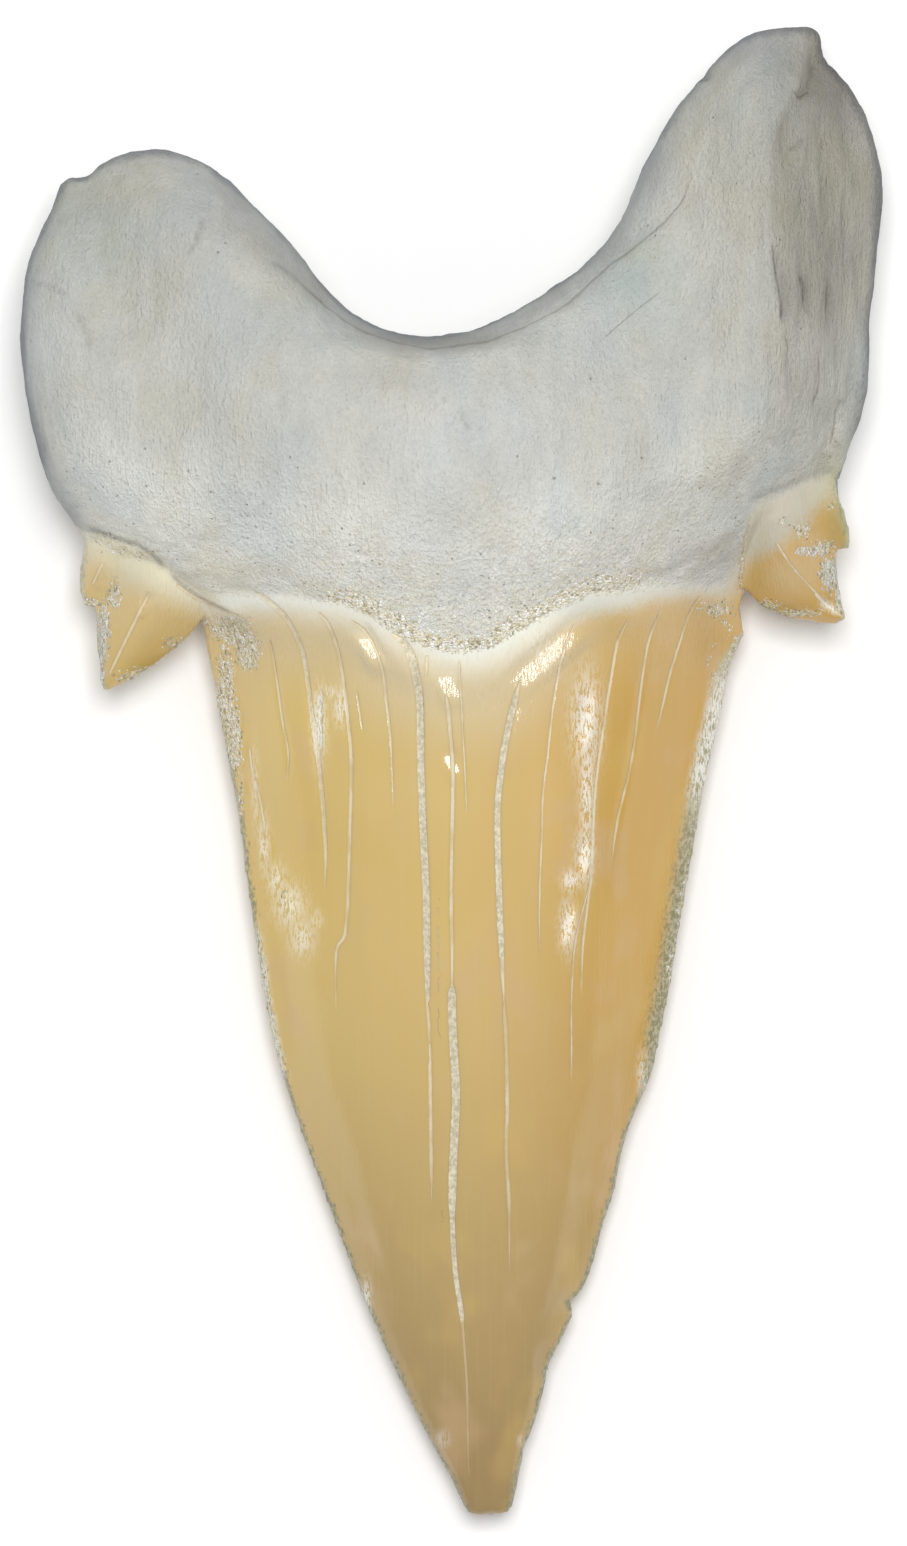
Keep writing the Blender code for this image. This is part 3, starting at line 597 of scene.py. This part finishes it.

# Creases are painted darker, as the shade in them: half width, strength, and the line in pixels.
CREASES = [
    (0.14, 0.5, [(84, 527), (104, 534), (123, 541), (143, 548), (159, 560), (168, 572)]),
    (0.1, 0.4, [(168, 572), (190, 590), (212, 604), (236, 614)]),
    (0.18, 0.25, [(742, 505), (766, 494), (790, 485), (812, 476), (838, 468)]),
    (0.14, 0.15, [(768, 252), (774, 285), (780, 312), (778, 330)]),
    (0.14, 0.12, [(799, 280), (802, 300), (800, 320)]),
    (0.14, 0.12, [(826, 290), (828, 312), (824, 340)]),
    (0.14, 0.25, [(812, 62), (806, 88), (794, 108)]),
    (0.12, 0.25, [(783, 158), (793, 152), (800, 146)]),
    (0.12, 0.2, [(206, 222), (200, 245), (190, 264)]),
    (0.12, 0.2, [(36, 287), (56, 292), (72, 302)]),
    (0.12, 0.2, [(80, 318), (90, 336), (95, 358)]),
    (0.12, 0.18, [(446, 404), (444, 412)]),
    (0.12, 0.18, [(458, 414), (466, 430), (470, 440)]),
    (0.14, 0.22, [(272, 268), (284, 274), (310, 296), (330, 312)]),
    (0.16, 0.45, [(697, 84), (704, 78)]),
]
for half_width, strength, pixels in CREASES:
    offset, share = side_of(photo_line(*pixels), 5 * half_width)
    ends = smoothstep(0, 0.15, share) * smoothstep(1, 0.85, share)
    shade = strength * ends * upper * np.exp(-np.minimum(offset / half_width, 9) ** 2)
    tint[:, :3] *= 1 - shade[:, None]
tint_kept = mesh.attributes.new("tint", "FLOAT_COLOR", "POINT")
tint_kept.data.foreach_set("color", tint.astype(np.float32).ravel())

finish = bpy.data.materials.new("fossil_tooth_finish")
finish.use_nodes = True
nodes, links = finish.node_tree.nodes, finish.node_tree.links
shader = nodes["Principled BSDF"]
where = nodes.new("ShaderNodeTexCoord").outputs["Object"]


def plug(socket, value):
    """Links a node's output to a socket, or sets the socket to a number or a colour."""
    if isinstance(value, bpy.types.NodeSocket):
        links.new(value, socket)
    elif isinstance(value, tuple) and len(socket.default_value) == 4:
        socket.default_value = (*value, 1)
    else:
        socket.default_value = value


def stored(name, output="Fac"):
    """A number or a colour that the points of the tooth keep."""
    node = nodes.new("ShaderNodeAttribute")
    node.attribute_name = name
    return node.outputs[output]


def calc(operation, *values):
    """A sum of sockets and numbers."""
    node = nodes.new("ShaderNodeMath")
    node.operation = operation
    for socket, value in zip(node.inputs, values):
        plug(socket, value)
    return node.outputs[0]


def times(*values):
    product = values[0]
    for value in values[1:]:
        product = calc("MULTIPLY", product, value)
    return product


def plus(*values):
    total = values[0]
    for value in values[1:]:
        total = calc("ADD", total, value)
    return total


def step_between(low, high, value, to_low=0.0, to_high=1.0):
    """Rises smoothly from to_low to to_high as the value passes from low to high."""
    node = nodes.new("ShaderNodeMapRange")
    node.interpolation_type = "SMOOTHSTEP"
    for name, setting in (
        ("Value", value), ("From Min", low), ("From Max", high), ("To Min", to_low), ("To Max", to_high)
    ):
        plug(node.inputs[name], setting)
    return node.outputs[0]


def srgb(r, g, b):
    """A colour from 0 to 255, as a screen shows it, in the shader's linear values."""
    return tuple(c / 255 / 12.92 if c <= 10 else ((c / 255 + 0.055) / 1.055) ** 2.4 for c in (r, g, b))


def blend(share, under, over, kind="MIX"):
    """One colour over another, by a share from 0 to 1."""
    node = nodes.new("ShaderNodeMix")
    node.data_type = "RGBA"
    node.blend_type = kind
    plug(node.inputs[0], share)
    plug(node.inputs[6], under)
    plug(node.inputs[7], over)
    return node.outputs[2]


def stretched(size, turn=0.0):
    """Object coordinates measured in lumps of this size, in millimetres."""
    node = nodes.new("ShaderNodeMapping")
    node.inputs["Scale"].default_value = tuple(1 / (s * MM) for s in size)
    node.inputs["Rotation"].default_value = (0, 0, turn)
    links.new(where, node.inputs["Vector"])
    return node.outputs[0]


def mottle(size, detail, rough, turn=0.0):
    """Soft noise between 0 and 1, with lumps of this size in millimetres."""
    node = nodes.new("ShaderNodeTexNoise")
    links.new(stretched(size, turn), node.inputs["Vector"])
    node.inputs["Scale"].default_value = 1.0
    node.inputs["Detail"].default_value = detail
    node.inputs["Roughness"].default_value = rough
    return node.outputs["Fac"]


def cells(size):
    """Grains: how far a place is from the middle of its grain, and two random numbers for each."""
    node = nodes.new("ShaderNodeTexVoronoi")
    links.new(stretched(size), node.inputs["Vector"])
    node.inputs["Scale"].default_value = 1.0
    parts = nodes.new("ShaderNodeSeparateColor")
    links.new(node.outputs["Color"], parts.inputs[0])
    return node.outputs["Distance"], parts.outputs[0], parts.outputs[1]


def tones(value, stops, kind="LINEAR"):
    """A ramp of colours: (position, colour) pairs."""
    node = nodes.new("ShaderNodeValToRGB")
    links.new(value, node.inputs[0])
    ramp = node.color_ramp
    ramp.interpolation = kind
    for index, (position, tone) in enumerate(stops):
        stop = ramp.elements[index] if index < 2 else ramp.elements.new(position)
        stop.position = position
        stop.color = (*tone, 1)
    return node.outputs[0]


along_axes = nodes.new("ShaderNodeSeparateXYZ")
links.new(where, along_axes.inputs[0])
x_mm = calc("MULTIPLY", along_axes.outputs[0], 1 / MM)
y_mm = calc("MULTIPLY", along_axes.outputs[1], 1 / MM)
root_depth = stored("root_gap")
enamel_depth = stored("enamel_gap")
patch_field = stored("patches")
cloud_field = stored("cloud")
crumb = mottle((0.18, 0.27, 0.22), 3.0, 0.70)
off_centre = calc("SUBTRACT", crumb, 0.5)

# Sand from the rock that the tooth lay in: pale, buff and grey grains.
GRAIN_SIZE = 0.135
grain_gap, grain_pick, grain_tone = cells((GRAIN_SIZE, GRAIN_SIZE, GRAIN_SIZE))
sand_colour = tones(grain_tone, [
    (0.0, srgb(170, 162, 136)), (0.12, srgb(212, 201, 168)), (0.35, srgb(226, 219, 196)),
    (0.60, srgb(230, 227, 214)), (0.82, srgb(248, 246, 240)),
], "CONSTANT")
# Darker between the grains, as painted shade.
sand_colour = blend(step_between(0.45, 0.70, grain_gap, 0, 0.35), sand_colour, srgb(150, 142, 116))

# Root: chalky bone, pale grey with bluish and buff clouds, fine upright fibres, and tiny pores
# and grit that crowd towards its lower edge. Where it turns under, walls and rim are painted slate grey
# as shade.
bone = blend(step_between(-0.5, 0.5, patch_field), srgb(206, 206, 199), srgb(201, 202, 196))
bone = blend(step_between(0.1, 0.6, cloud_field, 0, 0.45), bone, srgb(201, 198, 180))
bone = blend(step_between(-0.1, -0.6, cloud_field, 0, 0.5), bone, srgb(193, 199, 198))
upright = mottle((0.13, 1.0, 0.4), 3.0, 0.65)
bone = blend(step_between(0.48, 0.28, upright, 0, 0.20), bone, srgb(180, 180, 171))
bone = blend(step_between(0.55, 0.72, crumb, 0, 0.25), bone, srgb(226, 226, 219))
bone = blend(step_between(0.42, 0.28, crumb, 0, 0.25), bone, srgb(172, 171, 160))
pore_gap, pore_pick, _ = cells((0.36, 0.42, 0.4))
porous = step_between(7.0, 0.4, root_depth, 0.015, 0.35)
pore = times(step_between(0.19, 0.07, pore_gap), calc("LESS_THAN", pore_pick, porous))
bone = blend(times(pore, 0.55), bone, srgb(134, 130, 112))
ragged_depth = plus(root_depth, times(off_centre, 1.2))
mid_root = step_between(9.5, 6.0, calc("ABSOLUTE", plus(x_mm, -1.5)))
grit = times(step_between(4.5, 0.8, ragged_depth, 0.0, 0.55), mid_root)
gritty = calc("LESS_THAN", grain_pick, grit)
bone = blend(times(gritty, 0.30), bone, sand_colour)
edge_sand = times(step_between(1.1, 0.6, ragged_depth), mid_root)
edge_grains = calc("LESS_THAN", grain_pick, edge_sand)
bone = blend(times(edge_grains, 0.9), bone, sand_colour)
side = stored("side_wall")
edge_gap_field = stored("edge_gap")
near_edge = step_between(1.2, 0.5, edge_gap_field)
by_outline = calc("MAXIMUM", step_between(1.5, 3.5, root_depth), near_edge)
# Painted shade: the root's walls turn slate grey where they turn down, and its rim darker still.
wall_shade = plus(side, times(off_centre, 0.35), times(cloud_field, 0.10))
bone = blend(times(step_between(0.35, 0.95, wall_shade, 0, 0.5), by_outline), bone, srgb(150, 154, 158))
bone = blend(times(step_between(0.62, 1.15, wall_shade, 0, 0.32), by_outline), bone, srgb(108, 112, 122))
ragged_rim = plus(stored("rim_gap"), times(off_centre, 0.7))
rim_shade = times(step_between(0.55, 0.0, ragged_rim), step_between(1.0, 2.5, root_depth))
bone = blend(times(rim_shade, 0.54), bone, srgb(96, 101, 114))

# Enameloid: buff on the left, honey brown on the right and duller at the tip. Below the root it
# thins to a pale grey film, and it is greenish and gritty along the cutting edges.
CROWN_WIDTH = 26
enamel = tones(calc("MULTIPLY_ADD", x_mm, 1 / CROWN_WIDTH, 0.5), [
    (0.0, srgb(208, 179, 112)), (0.25, srgb(210, 182, 113)), (0.5, srgb(208, 180, 115)),
    (0.66, srgb(206, 174, 108)), (0.80, srgb(202, 163, 82)), (1.0, srgb(200, 158, 76)),
])
enamel = blend(step_between(-7, -36, y_mm), enamel, srgb(166, 140, 92))
enamel = blend(step_between(0.1, 0.8, cloud_field, 0, 0.45), enamel, srgb(204, 172, 130))
enamel = blend(step_between(-0.1, -0.8, cloud_field, 0, 0.35), enamel, srgb(206, 176, 102))
lengthwise = mottle((0.14, 9, 2), 2.0, 0.6)
enamel = blend(step_between(0.5, 0.75, lengthwise, 0, 0.05), enamel, srgb(228, 206, 160))
mid_crown = step_between(10.5, 2, calc("ABSOLUTE", plus(x_mm, 1.0)), 0.35, 1.0)
film = times(step_between(-5.5, -0.3, enamel_depth, 0, 0.6), mid_crown)
enamel = blend(film, enamel, srgb(216, 206, 180))
neck_colour = blend(step_between(6, 14, x_mm), srgb(210, 209, 196), srgb(196, 190, 172))
neck_colour = blend(step_between(-12, -15, x_mm), neck_colour, srgb(202, 196, 170))
neck_reach = step_between(4, 9, x_mm, 1.0, 0.55)
ragged_neck = plus(enamel_depth, times(off_centre, 1.2))
neck = step_between(times(neck_reach, -1.0), neck_reach, ragged_neck)
enamel = blend(neck, enamel, neck_colour)
right_half = step_between(4, 8, x_mm)
broad = times(right_half, step_between(-17, -12, y_mm), step_between(7.3, 4.5, y_mm))
border_width = plus(0.32, times(broad, 0.62))
ragged_edge = plus(edge_gap_field, times(off_centre, 0.8))
border = step_between(border_width, times(border_width, 0.35), ragged_edge, 0, 0.9)
border_colour = blend(step_between(-8, 6, y_mm), srgb(128, 128, 94), srgb(176, 174, 146))
border_colour = blend(step_between(0.42, 0.62, crumb, 0, 0.55), border_colour, srgb(212, 208, 186))
border_colour = blend(step_between(0.44, 0.30, crumb, 0, 0.45), border_colour, srgb(96, 94, 74))
enamel = blend(border, enamel, border_colour)

# Cracks, filled with pale calcite. Wide ones are grey and granular, and all have darker lips, painted
# shade.
crack = wide_crack = 0.0
for layer in "ab":
    wander = times(off_centre, 0.06)
    gap = calc("ABSOLUTE", plus(stored("crack_offset_" + layer), wander))
    width = stored("crack_width_" + layer)
    open_here = step_between(0.015, 0.05, width)
    half = times(width, 0.5)
    fill = times(step_between(plus(half, 0.04), plus(half, -0.03), gap), open_here)
    lip = times(step_between(plus(half, 0.15), half, gap), open_here)
    enamel = blend(times(lip, 0.25), enamel, srgb(178, 150, 104))
    bone = blend(times(fill, 0.55), bone, srgb(142, 139, 128))
    crack = calc("MAXIMUM", crack, fill)
    wide_crack = calc("MAXIMUM", wide_crack, times(fill, step_between(0.14, 0.24, width)))
calcite = blend(step_between(0.32, 0.68, crumb), srgb(182, 172, 142), srgb(224, 215, 190))
crack_colour = blend(wide_crack, srgb(225, 210, 176), calcite)
filled = step_between(0.36, 0.56, mottle((0.5, 1.8, 1.0), 1.0, 0.5), 0.35, 0.9)
filled = times(filled, step_between(-28, -14, y_mm, 0.30, 1.0))
enamel = blend(times(crack, calc("MAXIMUM", wide_crack, filled)), enamel, crack_colour)

# The enameloid fades out over the bone to the left and right, and ends sharply in the middle.
fade_out = step_between(3.5, 9.5, calc("ABSOLUTE", plus(x_mm, -0.5)), 0.06, 0.40)
ragged_root = plus(root_depth, times(off_centre, 0.7))
on_bone = step_between(times(fade_out, -1.0), fade_out, ragged_root)
skin = blend(on_bone, enamel, bone)

# Sand, and frost with painted highlights, lie over both; last the stains, with painted light and shade.
covered = calc("LESS_THAN", grain_pick, step_between(0.25, 0.80, stored("sand"), 0, 1.0))
skin = blend(times(covered, 0.85), skin, sand_colour)
frost_and_glint_streaks = mottle((0.10, 0.42, 0.3), 3.0, 0.7)
frost_and_glint_mask = times(stored("frost_and_glints"), step_between(0.42, 0.52, frost_and_glint_streaks))
skin = blend(times(frost_and_glint_mask, 0.9), skin, srgb(250, 248, 238))
skin = blend(1.0, skin, stored("tint", "Color"), "MULTIPLY")
plug(shader.inputs["Base Color"], skin)

GLOSSY, CHALKY = 0.12, 0.85
dull = calc("MAXIMUM", on_bone, covered)
dull = calc("MAXIMUM", dull, times(crack, 0.6))
dull = calc("MAXIMUM", dull, times(neck, 0.15))
dull = calc("MAXIMUM", dull, times(frost_and_glint_mask, 0.5))
dull = calc("MAXIMUM", dull, times(border, 0.5))
plug(shader.inputs["Roughness"], step_between(0.0, 1.0, dull, GLOSSY, CHALKY))
shader.inputs["IOR"].default_value = 1.63

# The bump, in millimetres: crumbs, fibres and pores on the bone, grains of sand, sunken cracks, and
# the slanted ripples and the frost that break up the enameloid's highlights.
ripples = mottle((0.09, 0.6, 0.3), 1.0, 0.5, math.radians(-20))
ripple_zone = step_between(-4.5, -1.0, enamel_depth, 0.15, 1.0)
bare = calc("SUBTRACT", 1.0, calc("MAXIMUM", on_bone, covered))
low_on_root = step_between(9, 2.5, root_depth, 0.05, 0.13)
right_of_root = step_between(13.5, 16.5, x_mm, 0, 0.20)
upright_share = calc("MAXIMUM", low_on_root, right_of_root)
rough_bone = plus(times(off_centre, 0.23), times(plus(upright, -0.5), upright_share))
height = times(on_bone, plus(rough_bone, times(pore, -0.08), times(gritty, 0.015)))
grain_dome = times(step_between(0.65, 0.1, grain_gap), 0.06)
height = plus(height, times(grain_dome, calc("MAXIMUM", covered, times(edge_grains, on_bone))))
height = plus(height, times(crack, -0.03))
height = plus(height, times(bare, ripple_zone, ripples, 0.045))
height = plus(height, times(bare, stored("frost_and_glints"), plus(frost_and_glint_streaks, -0.5), 0.10))
bump = nodes.new("ShaderNodeBump")
bump.inputs["Distance"].default_value = MM
bump.inputs["Strength"].default_value = 1.0
plug(bump.inputs["Height"], height)
links.new(bump.outputs[0], shader.inputs["Normal"])

mesh.materials.clear()
mesh.materials.append(finish)
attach(tooth, "root")
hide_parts("fossil_shark_tooth")


# The floor and the lights: a pale plain table under an even sky, with one soft lamp almost straight
# above, as a flash beside the camera is. Slopes are darker all round, and only what lies flat shines.
bpy.ops.object.select_all(action="DESELECT")
bpy.ops.mesh.primitive_plane_add(size=4)
floor = bpy.context.object
floor.name = "floor"
paper = bpy.data.materials.new("pale_floor")
paper.use_nodes = True
paper_shader = paper.node_tree.nodes["Principled BSDF"]
paper_shader.inputs["Base Color"].default_value = (0.98, 0.98, 0.98, 1)
paper_shader.inputs["Roughness"].default_value = 0.9
floor.data.materials.append(paper)

sky = bpy.data.worlds.new("sky")
bpy.context.scene.world = sky
sky.use_nodes = True
sky.node_tree.nodes["Background"].inputs["Color"].default_value = (1, 1, 1, 1)
sky.node_tree.nodes["Background"].inputs["Strength"].default_value = 0.46

soft_lamp = bpy.data.lights.new("soft_lamp", "AREA")
soft_lamp.size = 0.27
soft_lamp.energy = 3.35
lamp_holder = bpy.data.objects.new("soft_lamp", soft_lamp)
bpy.context.scene.collection.objects.link(lamp_holder)
lamp_holder.location = (0.02, 0.12, 0.70)
lamp_holder.rotation_euler = (-lamp_holder.location).to_track_quat("-Z", "Y").to_euler()

bpy.context.scene.view_settings.view_transform = "Standard"
